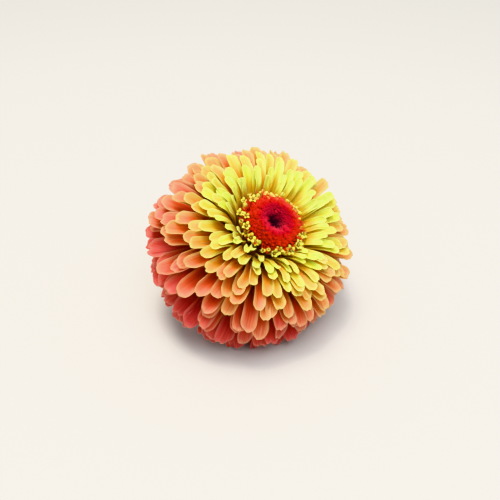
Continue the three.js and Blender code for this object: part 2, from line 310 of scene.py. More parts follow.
def spindle(centres, radii, sides, phase=0.0, axis=None):
    """Points and faces of a closed tapered tube along a line of centres.

    Its rings stand square to that line, or to an axis that is given.
    """
    centres = np.asarray(centres, float)
    tangents = np.gradient(centres, axis=0) if axis is None else np.tile(axis, (len(centres), 1))
    tangents /= np.linalg.norm(tangents, axis=1, keepdims=True) + 1e-12
    helper = np.array([0.0, 1.0, 0.0]) if abs(tangents[0][1]) < 0.9 else np.array([1.0, 0.0, 0.0])
    first = np.cross(helper, tangents)
    first /= np.linalg.norm(first, axis=1, keepdims=True)
    second = np.cross(tangents, first)
    turns = phase + 2 * np.pi * np.arange(sides) / sides
    ring = np.cos(turns)[:, None] * first[:, None] + np.sin(turns)[:, None] * second[:, None]
    points = centres[:, None] + ring * np.asarray(radii, float)[:, None, None]
    return points.reshape(-1, 3), tube_faces(len(centres), sides)


def lathe(profile, sides):
    """Points and faces of a closed solid of revolution about the flower's axis."""
    profile = np.asarray(profile, float)
    turns = 2 * np.pi * np.arange(sides) / sides
    x = profile[:, 0, None] * np.cos(turns)
    y = profile[:, 0, None] * np.sin(turns)
    z = np.broadcast_to(profile[:, 1, None], x.shape)
    return np.stack([x, y, z], axis=-1).reshape(-1, 3), tube_faces(len(profile), sides)


# ---- materials ----

MULTIPLY = {"operation": "MULTIPLY"}
MULTIPLY_ADD = {"operation": "MULTIPLY_ADD"}
SMOOTH = {"interpolation_type": "SMOOTHSTEP"}
COLOUR_MIX = {"data_type": "RGBA"}  # input 0 is then the share, 6 and 7 the colours, output 2 the mix

# Sizes that turn millimetres into shares of a petal or a scale, whose patterns lie along and across it.
HALF_BLADE = 3.3 * MM
BLADE_LENGTH = 27 * MM
HALF_SCALE = 2.9 * MM

# How old a petal is, from 0 to 1, when each part of it has its first colour, its second and so on.
COLOUR_AGES = {
    "tip": (0.04, 0.22, 0.36, 0.52, 0.68, 0.86),
    "blade": (0.04, 0.24, 0.38, 0.54, 0.7, 0.83),
    "base": (0.15, 0.4, 0.66, 0.82),
    "root": (0.3, 0.8),
    "rim": (0.08, 0.3, 0.5, 0.75),
}


def new_material(name):
    material = bpy.data.materials.new(name)
    material.use_nodes = True
    material.node_tree.nodes.clear()
    return material, material.node_tree


def add_node(tree, kind, settings=None, inputs=None, stops=(), output=0):
    """Adds a node with its settings, its inputs' values or links and a ramp's stops. Gives an output."""
    node = tree.nodes.new(kind)
    for name, value in (settings or {}).items():
        setattr(node, name, value)
    for key, value in (inputs or {}).items():
        if isinstance(value, bpy.types.NodeSocket):
            tree.links.new(value, node.inputs[key])
        else:
            node.inputs[key].default_value = value
    if stops:
        elements = node.color_ramp.elements
        while len(elements) < len(stops):
            elements.new(1.0)
        for element, (position, stop_colour) in zip(elements, stops):
            element.position = position
            element.color = stop_colour
    return node.outputs[output] if node.outputs else None


def finish_material(tree, colour, ior, roughness, relief=None, subsurface=None, sheen=None):
    """Ends a material with its shader and output.

    Roughness is a pattern and how its range maps to a range of roughness, relief is a pattern with its
    strength and depth, subsurface is a weight, radii and scale, and sheen is a weight and a roughness.
    """
    inputs = {
        "Base Color": colour,
        "IOR": ior,
        "Roughness": add_node(tree, "ShaderNodeMapRange", inputs=dict(enumerate(roughness))),
    }
    if relief:
        bump = dict(zip(("Height", "Strength", "Distance"), relief))
        inputs["Normal"] = add_node(tree, "ShaderNodeBump", inputs=bump)
    if subsurface:
        inputs.update(zip(("Subsurface Weight", "Subsurface Radius", "Subsurface Scale"), subsurface))
    if sheen:
        inputs.update(zip(("Sheen Weight", "Sheen Roughness"), sheen))
    shader = add_node(tree, "ShaderNodeBsdfPrincipled", inputs=inputs)
    add_node(tree, "ShaderNodeOutputMaterial", inputs={"Surface": shader})


def petal_material(colours):
    """Living petal tissue: thin, moist and finely ribbed, so it is satiny and lets some light through."""
    material, tree = new_material("zinnia_petal_tissue")
    age, along, across, margin, tone, under = (
        add_node(tree, "ShaderNodeAttribute", {"attribute_name": name}, output="Fac")
        for name in ("age", "along", "across", "margin", "tone", "under")
    )
    # Each petal is a little older or younger than its place says.
    own_age = add_node(tree, "ShaderNodeMath", MULTIPLY_ADD, {0: tone, 1: 0.085, 2: age})
    tips, blades, bases, roots_and_shade, rims = (
        add_node(
            tree,
            "ShaderNodeValToRGB",
            inputs={0: own_age},
            stops=[(stop, getattr(colours, f"{part}_{k}")) for k, stop in enumerate(ages, 1)],
        )
        for part, ages in COLOUR_AGES.items()
    )

    # Streaks of 0.6 by 15 mm run lengthwise. The noise's third axis sets each petal apart from the next.
    place = add_node(tree, "ShaderNodeCombineXYZ", inputs={"X": across, "Y": along, "Z": tone})
    streak_shares = (HALF_BLADE / (0.6 * MM), BLADE_LENGTH / (15 * MM), 9.0)
    stretched = add_node(tree, "ShaderNodeVectorMath", MULTIPLY, {0: place, 1: streak_shares})
    streak_noise = {"Vector": stretched, "Scale": 1.0, "Detail": 4.0}
    streaks = add_node(tree, "ShaderNodeTexNoise", inputs=streak_noise)
    shifted = add_node(tree, "ShaderNodeMath", MULTIPLY_ADD, {0: streaks, 1: 0.26, 2: along})
    from_root, from_base, to_tip = (
        add_node(tree, "ShaderNodeMapRange", SMOOTH, {0: shifted, 1: start, 2: end})
        for start, end in ((0.36, 0.64), (0.73, 0.97), (0.91, 1.14))
    )
    # Up to the end of the claw the root colour takes over: partly the claw's own red and partly painted
    # shade between the petals.
    lowest = add_node(tree, "ShaderNodeMix", COLOUR_MIX, {0: from_root, 6: roots_and_shade, 7: bases}, output=2)
    lower = add_node(tree, "ShaderNodeMix", COLOUR_MIX, {0: from_base, 6: lowest, 7: blades}, output=2)
    body = add_node(tree, "ShaderNodeMix", COLOUR_MIX, {0: to_tip, 6: lower, 7: tips}, output=2)

    # Some of the base's colour runs on up the blade in streaks.
    run = add_node(tree, "ShaderNodeMapRange", inputs={0: streaks, 1: 0.46, 2: 0.68, 3: 0.0, 4: 0.6})
    fading = add_node(tree, "ShaderNodeMapRange", SMOOTH, {0: shifted, 1: 0.8, 2: 1.1, 3: 1.0, 4: 0.0})
    run_share = add_node(tree, "ShaderNodeMath", MULTIPLY, {0: run, 1: fading})
    streaked = add_node(tree, "ShaderNodeMix", COLOUR_MIX, {0: run_share, 6: body, 7: bases}, output=2)
    # The rim is pale for a millimetre or so, unevenly, and fades inwards: partly the petal's own paler
    # margin and partly a painted highlight along its edge.
    uneven = add_node(tree, "ShaderNodeMath", MULTIPLY_ADD, {0: streaks, 1: 1.2, 2: margin})
    rim = add_node(tree, "ShaderNodeMapRange", SMOOTH, {0: uneven, 1: 0.55, 2: 2.5, 3: 0.85, 4: 0.0})
    open_rim_and_highlight = add_node(tree, "ShaderNodeMath", MULTIPLY, {0: rim, 1: from_base})
    rimmed_and_highlighted = add_node(tree, "ShaderNodeMix", COLOUR_MIX, {0: open_rim_and_highlight, 6: streaked, 7: rims}, output=2)

    # Finer streaks, 0.37 mm wide, lighten and darken the whole blade.
    fine_shares = (HALF_BLADE / (0.367 * MM), BLADE_LENGTH / (12.3 * MM), 31.0)
    fine_place = add_node(tree, "ShaderNodeVectorMath", MULTIPLY, {0: place, 1: fine_shares})
    fine_noise = {"Vector": fine_place, "Scale": 1.0, "Detail": 3.0}
    fine = add_node(tree, "ShaderNodeTexNoise", inputs=fine_noise)
    brightness = add_node(tree, "ShaderNodeMapRange", inputs={0: fine, 1: 0.3, 2: 0.7, 3: 0.8, 4: 1.14})
    lined = add_node(tree, "ShaderNodeHueSaturation", inputs={"Value": brightness, "Color": rimmed_and_highlighted})

    # About a dozen nerves run down each petal, 0.55 mm apart, and wander a little.
    nerve_turns = 2 * math.pi * HALF_BLADE / (0.546 * MM)
    spaced = add_node(tree, "ShaderNodeMath", MULTIPLY, {0: across, 1: nerve_turns})
    wandering = add_node(tree, "ShaderNodeMath", MULTIPLY_ADD, {0: fine, 1: 7.0, 2: spaced})
    nerves = add_node(tree, "ShaderNodeMath", {"operation": "SINE"}, {0: wandering})
    nerve_share = add_node(tree, "ShaderNodeMapRange", inputs={0: nerves, 1: 0.2, 2: 1.0, 3: 0.0, 4: 0.26})
    veined = add_node(tree, "ShaderNodeMix", COLOUR_MIX, {0: nerve_share, 6: lined, 7: bases}, output=2)
    # The underside is paler and duller.
    under_share = add_node(tree, "ShaderNodeMath", MULTIPLY, {0: under, 1: 0.3})
    final = add_node(tree, "ShaderNodeMix", COLOUR_MIX, {0: under_share, 6: veined, 7: rims}, output=2)

    relief = add_node(tree, "ShaderNodeMath", MULTIPLY_ADD, {0: nerves, 1: 0.5, 2: streaks})
    finish_material(
        tree,
        colour=final,
        ior=1.42,
        roughness=(streaks, 0.3, 0.7, 0.42, 0.6),
        relief=(relief, 0.35, 0.12 * MM),
        subsurface=(0.4, (1.0, 0.6, 0.25), 1.5 * MM),
        sheen=(0.15, 0.4),
    )
    return material


def chaff_material(colours):
    """Papery bracts with waxy, fringed red tips: bright where they stand free, and painted darker towards
    their feet as painted shade where they crowd.
    """
    material, tree = new_material("zinnia_chaff_wax")
    out, height, tone = (
        add_node(tree, "ShaderNodeAttribute", {"attribute_name": name}, output="Fac")
        for name in ("out", "height", "tone")
    )
    wandered = add_node(tree, "ShaderNodeMath", MULTIPLY_ADD, {0: tone, 1: 0.05, 2: out})
    stops = (
        (0.27, colours.chaff_middle),
        (0.47, colours.chaff_inner),
        (0.6, colours.chaff_inner),
        (0.78, colours.chaff_outer),
        (0.96, colours.chaff_outer),
        (1.0, colours.chaff_flank),
    )
    tips = add_node(tree, "ShaderNodeValToRGB", inputs={0: wandered}, stops=stops)
    # Low on each bract, and on the cushion between them, the colour is multiplied darker: painted shade
    # where the bracts crowd.
    shade_multiply = {"data_type": "RGBA", "blend_type": "MULTIPLY"}
    shaded_feet = add_node(tree, "ShaderNodeMix", shade_multiply, {0: 1.0, 6: tips, 7: linear("#A8543E")}, output=2)
    up = add_node(tree, "ShaderNodeMapRange", SMOOTH, {0: height, 1: 0.2, 2: 0.85})
    final = add_node(tree, "ShaderNodeMix", COLOUR_MIX, {0: up, 6: shaded_feet, 7: tips}, output=2)
    grain = add_node(tree, "ShaderNodeTexNoise", inputs={"Scale": 1 / (0.4 * MM), "Detail": 3.0})
    finish_material(
        tree,
        colour=final,
        ior=1.45,
        roughness=(grain, 0.3, 0.7, 0.35, 0.55),
        relief=(grain, 0.3, 0.1 * MM),
        subsurface=(0.15, (1.0, 0.2, 0.15), 0.8 * MM),
    )
    return material


def floret_material(colours):
    """Open florets: soft tubes with felted lobes, so they are matt with a soft sheen."""
    material, tree = new_material("zinnia_floret_felt")
    height, tone = (
        add_node(tree, "ShaderNodeAttribute", {"attribute_name": name}, output="Fac")
        for name in ("height", "tone")
    )
    # Down the tube the colour darkens to red-brown, and the throat takes the darkest: painted shade among
    # the chaff and inside the mouth.
    stops = (
        (0.0, linear("#7A2A14")),
        (0.45, linear("#A88A2C")),
        (0.8, colours.floret),
        (1.0, linear("#E4E45E")),
    )
    along = add_node(tree, "ShaderNodeValToRGB", inputs={0: height}, stops=stops)
    value = add_node(tree, "ShaderNodeMath", MULTIPLY_ADD, {0: tone, 1: 0.1, 2: 1.0})
    tinted = add_node(tree, "ShaderNodeHueSaturation", inputs={"Value": value, "Color": along})
    felt = add_node(tree, "ShaderNodeTexNoise", inputs={"Scale": 1 / (0.25 * MM), "Detail": 3.0})
    finish_material(
        tree,
        colour=tinted,
        ior=1.42,
        roughness=(felt, 0.3, 0.7, 0.6, 0.85),
        relief=(felt, 0.5, 0.12 * MM),
        subsurface=(0.2, (0.8, 0.6, 0.2), 0.8 * MM),
        sheen=(0.35, 0.5),
    )
    return material


def scale_material(colours):
    """Leathery green scales with dry, dark margins: a dull wax bloom over fine ribs."""
    material, tree = new_material("zinnia_cup_scale")
    along, across, tone = (
        add_node(tree, "ShaderNodeAttribute", {"attribute_name": name}, output="Fac")
        for name in ("along", "across", "tone")
    )
    # The dark margin follows the scale's round tip, and frays.
    edge = add_node(tree, "ShaderNodeMath", {"operation": "ABSOLUTE"}, {0: across})
    outward = add_node(tree, "ShaderNodeMath", {"operation": "POWER"}, {0: edge, 1: 3.0})
    reach = add_node(tree, "ShaderNodeMath", MULTIPLY_ADD, {0: outward, 1: 0.14, 2: along})
    fray = add_node(tree, "ShaderNodeTexNoise", inputs={"Scale": 1 / (0.9 * MM), "Detail": 4.0})
    frayed = add_node(tree, "ShaderNodeMath", MULTIPLY_ADD, {0: fray, 1: 0.16, 2: reach})
    dark = add_node(tree, "ShaderNodeMapRange", SMOOTH, {0: frayed, 1: 0.95, 2: 1.06})
    pale = add_node(tree, "ShaderNodeMapRange", inputs={0: along, 1: 0.0, 2: 0.8, 3: 0.55, 4: 0.0})
    greens = {0: pale, 6: colours.scale_green, 7: linear("#A9B978")}
    green = add_node(tree, "ShaderNodeMix", COLOUR_MIX, greens, output=2)
    value = add_node(tree, "ShaderNodeMath", MULTIPLY_ADD, {0: tone, 1: 0.14, 2: 1.0})
    toned = add_node(tree, "ShaderNodeHueSaturation", inputs={"Value": value, "Color": green})
    edged = {0: dark, 6: toned, 7: colours.scale_edge}
    final = add_node(tree, "ShaderNodeMix", COLOUR_MIX, edged, output=2)
    # Ribs run lengthwise, 0.54 mm apart.
    rib_turns = 2 * math.pi * HALF_SCALE / (0.536 * MM)
    spaced = add_node(tree, "ShaderNodeMath", MULTIPLY, {0: across, 1: rib_turns})
    ribs = add_node(tree, "ShaderNodeMath", {"operation": "SINE"}, {0: spaced})
    relief = add_node(tree, "ShaderNodeMath", MULTIPLY_ADD, {0: ribs, 1: 0.4, 2: fray})
    finish_material(
        tree,
        colour=final,
        ior=1.45,
        roughness=(dark, 0.0, 1.0, 0.5, 0.78),
        relief=(relief, 0.4, 0.12 * MM),
        subsurface=(0.08, (0.5, 1.0, 0.3), 0.8 * MM),
    )
    return material


def stem_material(colours):
    """A fresh ribbed stem: waxy green, paler on its ribs, with clear short hairs and a pale cut."""
    material, tree = new_material("zinnia_stem_skin")
    hair, rib, cut = (
        add_node(tree, "ShaderNodeAttribute", {"attribute_name": name}, output="Fac")
        for name in ("hair", "rib", "cut")
    )
    mottle = add_node(tree, "ShaderNodeTexNoise", inputs={"Scale": 1 / (1.6 * MM), "Detail": 5.0})
    mottled = add_node(tree, "ShaderNodeMapRange", inputs={0: mottle, 1: 0.45, 2: 0.75, 3: 0.0, 4: 0.5})
    skin = colours.stem_green
    for part, tint in ((rib, "#A5B978"), (mottled, "#5E7A38"), (hair, "#E4E8CE"), (cut, "#DDE3B4")):
        skin = add_node(tree, "ShaderNodeMix", COLOUR_MIX, {0: part, 6: skin, 7: linear(tint)}, output=2)
    finish_material(
        tree,
        colour=skin,
        ior=1.45,
        roughness=(mottle, 0.3, 0.7, 0.4, 0.6),
        relief=(mottle, 0.3, 0.15 * MM),
        subsurface=(0.1, (0.5, 1.0, 0.3), 1.0 * MM),
    )
    return material


def core_material():
    """The receptacle's fleshy tissue, painted dark brown as painted shade for the depth where it shows
    between the petals.
    """
    material, tree = new_material("zinnia_receptacle_flesh")
    pores = add_node(tree, "ShaderNodeTexVoronoi", inputs={"Scale": 1 / (1.3 * MM)})
    # Dark browns: painted shade where the core shows deep between the petals.
    stops = ((0.15, linear("#5C2412")), (0.6, linear("#8C4A20")))
    shaded_flesh = add_node(tree, "ShaderNodeValToRGB", inputs={0: pores}, stops=stops)
    finish_material(
        tree,
        colour=shaded_flesh,
        ior=1.42,
        roughness=(pores, 0.0, 0.7, 0.55, 0.75),
        relief=(pores, 0.5, 0.3 * MM),
    )
    return material


def floor_material(colours):
    """Matt painted board: even, with a faint mottle that keeps it from looking empty."""
    material, tree = new_material("painted_board")
    mottle = add_node(tree, "ShaderNodeTexNoise", inputs={"Scale": 1 / (30 * MM), "Detail": 3.0})
    finish_material(
        tree,
        colour=colours.floor,
        ior=1.45,
        roughness=(mottle, 0.3, 0.7, 0.75, 0.85),
    )
    return material


# ---- petals ----

TIERS = (
    SimpleNamespace(node="ray_petals_coral", slot="coral_petals", name="petals_coral", petals=66),
    SimpleNamespace(node="ray_petals_orange", slot="orange_petals", name="petals_orange", petals=66),
    SimpleNamespace(node="ray_petals_yellow", slot="yellow_petals", name="petals_yellow", petals=84),
)
PIECES_PER_TIER = 4
PETALS = sum(tier.petals for tier in TIERS)
SEAM_GAP = 0.3 * MM
CLEAR_BELOW_SEAM = 2.6 * MM
CLEAR_ABOVE_SEAM = 1.1 * MM
ROOT_SINK = 1.2 * MM
TIP_WANDER = math.radians(3.6)
REACH_WANDER = 0.028
TURN_WANDER = math.radians(5)
SWEEP_SHARE = 0.07
MOST_TWIST = math.radians(14)
MOST_LIFT = math.radians(60)
LIFT_STEP = math.radians(0.5)
WIDEST_AT = 0.7
ROWS, COLUMNS = 29, 13

# How a petal's tip and sides are worked, as shares of its half width where no unit is given.
TIP_ROUNDING = 1.05
NOTCH_DEPTH = 0.26
TOOTH_DEPTH = 0.05
SIDE_WOBBLE = 0.05
CLAW_TROUGH = 0.8
LIP_HEIGHT = 0.3 * MM
LIP_WIDTH = 0.9 * MM
RIDGE_HEIGHT = 0.11 * MM
WAVE_HEIGHT = 0.2
CREASE_HEIGHT = 0.24
TIP_CURL = 0.06  # as a share of its reach


def petal_plan(bloom, index, root_height):
    """What sets one petal: where it grows, where its tip lies and how it is bent and turned."""
    youth = index / (PETALS - 1)
    spread = youth * (1.25 - 0.25 * youth)
    around = lerp(bloom.lowest, bloom.highest, spread) + TIP_WANDER * draw(index, 1)
    turn = index * GOLDEN_ANGLE + TURN_WANDER * draw(index, 3)
    reach = 1 + REACH_WANDER * draw(index, 2) + bloom.oval * math.cos(2 * turn)

    def squarish(x):
        return math.copysign(abs(x) ** (2 / bloom.squareness), x)

    dome = bloom.crest_radius + (bloom.radius - bloom.crest_radius) * squarish(math.cos(around))
    return SimpleNamespace(
        index=index,
        youth=youth,
        root=np.array([bloom.core_radius, root_height]),
        tip=np.array([dome * reach, bloom.crest_height * squarish(math.sin(around)) * reach]),
        arch=lerp(bloom.oldest_arch, bloom.youngest_arch, youth * youth),
        half_width=lerp(bloom.oldest_half_width, bloom.youngest_half_width, youth**bloom.narrowing),
        turn=turn,
        sweep=SWEEP_SHARE * draw(index, 4),
        twist=MOST_TWIST * draw(index, 5),
        cup=bloom.cup * (1 + 0.4 * draw(index, 6)),
    )


def petal_middle(bloom, plan, lift):
    """A petal's middle surface from its sunk root to its tip.

    Gives its points, and how far along, across and from the margin each one is.
    """

    def own(use):
        return draw(plan.index, use)

    chord = plan.tip - plan.root
    c, s = math.cos(lift), math.sin(lift)
    chord = np.array([c * chord[0] - s * chord[1], s * chord[0] + c * chord[1]])
    reach = np.linalg.norm(chord)
    bend = plan.root + 0.5 * chord + plan.arch * np.array([-chord[1], chord[0]])
    end = plan.root + chord

    steps = 1 - (1 - np.linspace(0, 1, ROWS)) ** 1.35
    across = np.sin(np.linspace(-0.5, 0.5, COLUMNS) * math.pi)
    # The sides stop short of the tip. Most tips are blunt and round, and some are pointed or notched.
    slimness = plan.half_width / reach
    rounding = min(TIP_ROUNDING * slimness, 0.3)
    point = 0.26 + 0.26 * own(14)
    skewed = np.abs(across - 0.3 * own(15) * (1 - across**2))
    round_tip = 1 - np.sqrt(np.clip(1 - skewed**3.2, 0, 1))
    stop = 1 - rounding * (point * skewed**1.8 + (1 - point) * round_tip)
    notch = max(0.0, own(8) + 0.25) * NOTCH_DEPTH * slimness
    stop = stop - notch * np.exp(-((across - 0.3 * own(9)) ** 2) / 0.025)
    teeth = TOOTH_DEPTH * slimness * np.sin(across * (7 + 2 * own(18)) + 3 * own(19))
    stop = stop + teeth - max(0.0, float((stop + teeth).max()) - 1)
    u = steps[:, None] * stop[None, :]
    v = np.broadcast_to(across, u.shape)

    # The midline is one bend from root to tip.
    back, ahead = (1 - u)[..., None], u[..., None]
    line = back**2 * plan.root + 2 * ahead * back * bend + ahead**2 * end
    course = 2 * back * (bend - plan.root) + 2 * ahead * (end - bend)
    slope = np.arctan2(course[..., 1], course[..., 0])
    half_width = plan.half_width * lerp(bloom.claw, 1, smoothstep(u, 0, WIDEST_AT))
    half_width = half_width * (1 + SIDE_WOBBLE * np.sin(11 * u + 3 * own(17) + 2 * np.sign(v)))
    side = half_width * v
    margin = np.minimum((1 - np.abs(v)) * half_width, (1 - steps[:, None]) * reach)
    # The claw is a deep trough, which opens into a spoon with a lip all round.
    trough = lerp(CLAW_TROUGH, plan.cup, smoothstep(u, 0.1, 0.75))
    blade_part = smoothstep(u, 0.4, 0.8)
    roll = np.where(v > 0, 1 + 0.6 * own(23), 1 + 0.6 * own(24))
    rise = trough * half_width * v**2 * lerp(1, roll, blade_part)
    lip = LIP_HEIGHT * (1 - smoothstep(margin, 0, LIP_WIDTH)) * blade_part
    # Low ridges beside the midline, a wavy rim, a crease on some petals and a tip that turns down or up.
    ridges = -RIDGE_HEIGHT * np.cos(v * (8.4 + 1.6 * own(20)) + own(21)) * smoothstep(u, 0.15, 0.5)
    wave = WAVE_HEIGHT * plan.half_width * np.abs(v) ** 3 * smoothstep(u, 0.35, 0.8)
    wave = wave * np.sin(u * (9 + 3 * own(10)) + 3 * own(11) + 1.4 * np.sign(v))
    crease = CREASE_HEIGHT * max(0.0, own(16)) * half_width * np.sqrt(v**2 + 0.02)
    curl = reach * TIP_CURL * (own(12) - 0.1) * smoothstep(u, 0.7, 1.0) ** 2
    rise = rise + lip + ridges + wave + crease * smoothstep(u, 0.3, 0.7) + curl
    twist = plan.twist * u
    aside = plan.sweep * reach * u**2 + side * np.cos(twist) - rise * np.sin(twist)
    lifted = side * np.sin(twist) + rise * np.cos(twist)
    r = line[..., 0] - np.sin(slope) * lifted
    z = line[..., 1] + np.cos(slope) * lifted
    # The claw runs on into the core.
    r[0] -= ROOT_SINK
    points = turned_about_axis(np.stack([r, aside, z], axis=-1), plan.turn)
    return points, u, v, margin / MM


def add_petal(heap, bloom, pose, index, root_height):
    """Adds a petal, bent up until no more than its tip is pressed on the surface."""
    plan = petal_plan(bloom, index, root_height)
    lift = 0.0
    points, u, v, margin = petal_middle(bloom, plan, lift)
    while on_surface(points)[..., 2].min() < -pose.press and lift < MOST_LIFT:
        lift += LIFT_STEP
        points, u, v, margin = petal_middle(bloom, plan, lift)
    half_thickness = 0.5 * bloom.thickness * np.sqrt(np.clip(1 - v**4, 0, 1)) * (1 - 0.35 * u)
    upper_count = u.size
    under = np.zeros(upper_count + (ROWS - 2) * (COLUMNS - 2))
    under[upper_count:] = 1
    # Only the younger petals turn lime early, while old ones turn coral early on the other side.
    lead = bloom.lime_lead * (math.cos(plan.turn - bloom.lime_side) - 0.2)
    lead *= float(smoothstep(plan.youth, 0.5, 0.95)) if lead > 0 else 1
    heap.add(
        blade(points, half_thickness),
        blade_faces(ROWS, COLUMNS),
        age=plan.youth + lead,
        along=both_faces(u),
        across=both_faces(v),
        margin=both_faces(margin),
        tone=draw(index, 13),
        under=under,
    )


class ZINNIA_OT_petals(bpy.types.Operator):
    """Adds the ray petals, in pieces of twenty-four to thirty-two, from the oldest to the youngest"""

    bl_idname = "zinnia.petals"
    bl_label = "Ray petals"

    def execute(self, context):
        bloom = context.scene.zinnia_bloom
        pose = context.scene.zinnia_pose
        material = petal_material(context.scene.zinnia_colours)
        before = 0
        for tier in TIERS:
            bottom, top = (
                lerp(bloom.core_bottom, bloom.core_top, petals / PETALS)
                for petals in (before, before + tier.petals)
            )
            bottom += SEAM_GAP if before else 0
            heaps = [Heap() for _ in range(PIECES_PER_TIER)]
            # The solid model has as many petals as its faces allow; here others stand between them.
            added = [k + 0.5 for k in range(1, tier.petals - 1, bloom.added_after)]
            lowest, highest = bottom + CLEAR_ABOVE_SEAM, top - CLEAR_BELOW_SEAM
            for k in sorted([*range(tier.petals), *added]):
                root_height = lerp(lowest, highest, k / (tier.petals - 1))
                heap = heaps[int(k * PIECES_PER_TIER / tier.petals)]
                add_petal(heap, bloom, pose, before + k, root_height)
            for place, heap in enumerate(heaps, 1):
                heap.piece(f"{tier.name}_{place}", material, tier.node, tier.slot, floor=True)
            before += tier.petals
        return {"FINISHED"}


CORE_INSET = 0.15 * MM
CORE_ROUNDING = 0.8 * MM


class ZINNIA_OT_receptacle(bpy.types.Operator):
    """Adds the core that the petals grow from"""

    bl_idname = "zinnia.receptacle"
    bl_label = "Receptacle"

    def execute(self, context):
        bloom = context.scene.zinnia_bloom
        heap = Heap()
        radius = bloom.core_radius - CORE_INSET
        profile = [
            (radius - CORE_ROUNDING, bloom.core_bottom),
            (radius, bloom.core_bottom + CORE_ROUNDING),
            (radius, bloom.core_top - CORE_ROUNDING),
            (radius - CORE_ROUNDING, bloom.core_top),
        ]
        heap.add(*lathe(profile, 96))
        piece = heap.piece("receptacle", core_material(), "ray_petals_yellow", "yellow_petals")
        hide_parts("ray_petals_yellow", "ray_petals_orange", "ray_petals_coral")
        return {"FINISHED"}


# ---- disc ----

LATHE_SIDES = 72
CUSHION_FOOT = (6.6 * MM, 15.6 * MM)


def cushion_height(disc, r):
    """Height of the red cushion: up to a round rim, and down into the dimple."""
    fall = np.clip((r - disc.rim_radius) / (disc.radius - disc.rim_radius), 0, 1)
    outer = lerp(disc.rim_height, disc.edge_height, fall**2)
    inner = lerp(disc.dimple_height, disc.rim_height, smoothstep(r, 0, disc.rim_radius))
    return np.where(r > disc.rim_radius, outer, inner)


SHAFT_RINGS = np.array([0, 0.4, 0.7])  # shares of a bract's length
SHAFT_SIDES = 6
TOOTH_RADII = np.array([0.15, 0.12, 0.03]) * MM
TOOTH_SIDES = 4


def add_bract(heap, key, foot, ahead, tall, radius, turn, teeth, out):
    """Adds a bract: a stout shaft that ends in a fringe of curved teeth."""
    shaft = foot + ahead * (SHAFT_RINGS[:, None] * tall)
    radii = [radius, radius * 1.05, radius * 0.6]
    points, faces = spindle(shaft, radii, SHAFT_SIDES, phase=draw(key, 24))
    tone = draw(key, 25)
    # How high up a part is sets how much painted shade it takes: the foot of the shaft takes the most.
    shaft_heights = np.repeat(SHAFT_RINGS * 0.8, SHAFT_SIDES)
    heap.add(turned_about_axis(points, turn), faces, out=out, height=shaft_heights, tone=tone)
    for tooth in range(teeth):
        seed = key * 7 + tooth
        around = 2 * math.pi * tooth / teeth + 1.5 * draw(key, 26) + 0.4 * draw(seed, 30)
        sideways = np.array([math.cos(around), math.sin(around), 0]) * radius
        start = shaft[-1] - ahead * 0.4 * MM + sideways * 0.45
        long = tall * (0.85 + 0.35 * draw(seed, 27))
        tip = start + ahead * long + sideways * (0.9 + 0.8 * draw(seed, 29))
        middle = 0.5 * (start + tip) + sideways * 0.35
        points, faces = spindle([start, middle, tip], TOOTH_RADII, TOOTH_SIDES)
        heap.add(
            turned_about_axis(points, turn),
            faces,
            out=out,
            height=np.repeat([0.65, 0.88, 1.0], TOOTH_SIDES),
            tone=0.5 * (tone + draw(seed, 28)),
        )


# The cushion's bracts change from the first value, by the dimple, to the second, by the edge.
CUSHION_HEIGHTS = 1.3 * MM, 1.6 * MM
CUSHION_RADII = 0.34 * MM, 0.42 * MM
CUSHION_INWARD_LEANS = 0.8, 0.0
CUSHION_TEETH = 5, 7
CUSHION_SINK = 0.7 * MM
CUSHION_MARGIN = 0.4 * MM


def add_cushion_bract(heap, disc, k):
    """Adds a bract of the cushion: outer ones stand up, and inner ones lie over towards the dimple."""
    r = (disc.radius - CUSHION_MARGIN) * math.sqrt((k + 0.5) / disc.chaff)
    out = r / disc.radius
    step = 0.2 * MM
    slope = float(cushion_height(disc, r + step) - cushion_height(disc, r - step)) / (2 * step)
    inward = lerp(*CUSHION_INWARD_LEANS, float(smoothstep(out, 0.35, 0.75)))
    lean = -math.atan(slope) * 0.6 - inward + 0.28 * draw(k, 22)
    ahead = np.array([math.sin(lean), 0.12 * draw(k, 20), math.cos(lean)])
    height = lerp(*CUSHION_HEIGHTS, float(smoothstep(out, 0.4, 0.8)))
    add_bract(
        heap,
        key=k,
        foot=np.array([r, 0, float(cushion_height(disc, r))]) - ahead * CUSHION_SINK,
        ahead=ahead,
        tall=height * (1 + 0.3 * draw(k, 23)),
        radius=lerp(*CUSHION_RADII, out),
        turn=k * GOLDEN_ANGLE + 0.08 * draw(k, 21),
        teeth=CUSHION_TEETH[out > 0.4],
        out=out,
    )


# Feet, as radius and height, and lengths in mm, leans in degrees, and how far out the colour is taken.
FLANK_ROWS = (
    SimpleNamespace(foot=(10.6, 21.7), lean=48, tall=2.0, out=0.97),
    SimpleNamespace(foot=(10.1, 20.8), lean=64, tall=2.7, out=1.0),
    SimpleNamespace(foot=(9.4, 19.8), lean=62, tall=3.6, out=1.08),
)
FLANK_RADIUS = 0.4 * MM
FLANK_TEETH = 6
FLANK_KEYS = 1000  # keeps the draws of these bracts apart from the cushion's


def add_flank_bract(heap, disc, k):
    """Adds a bract from the cushion's flank, which fills the space among the open florets."""
    row = FLANK_ROWS[k % len(FLANK_ROWS)]
    lean = math.radians(row.lean) + 0.22 * draw(k, 62)
    add_bract(
        heap,
        key=FLANK_KEYS + k,
        foot=np.array([row.foot[0], 0, row.foot[1] + 0.4 * draw(k, 65)]) * MM,
        ahead=np.array([math.sin(lean), 0.2 * draw(k, 64), math.cos(lean)]),
        tall=row.tall * MM * (1 + 0.28 * draw(k, 63)),
        radius=FLANK_RADIUS,
        turn=2 * math.pi * (k + 0.5) / disc.flank_chaff + 0.05 * draw(k, 61),
        teeth=FLANK_TEETH,
        out=row.out + 0.04 * draw(k, 66),
    )


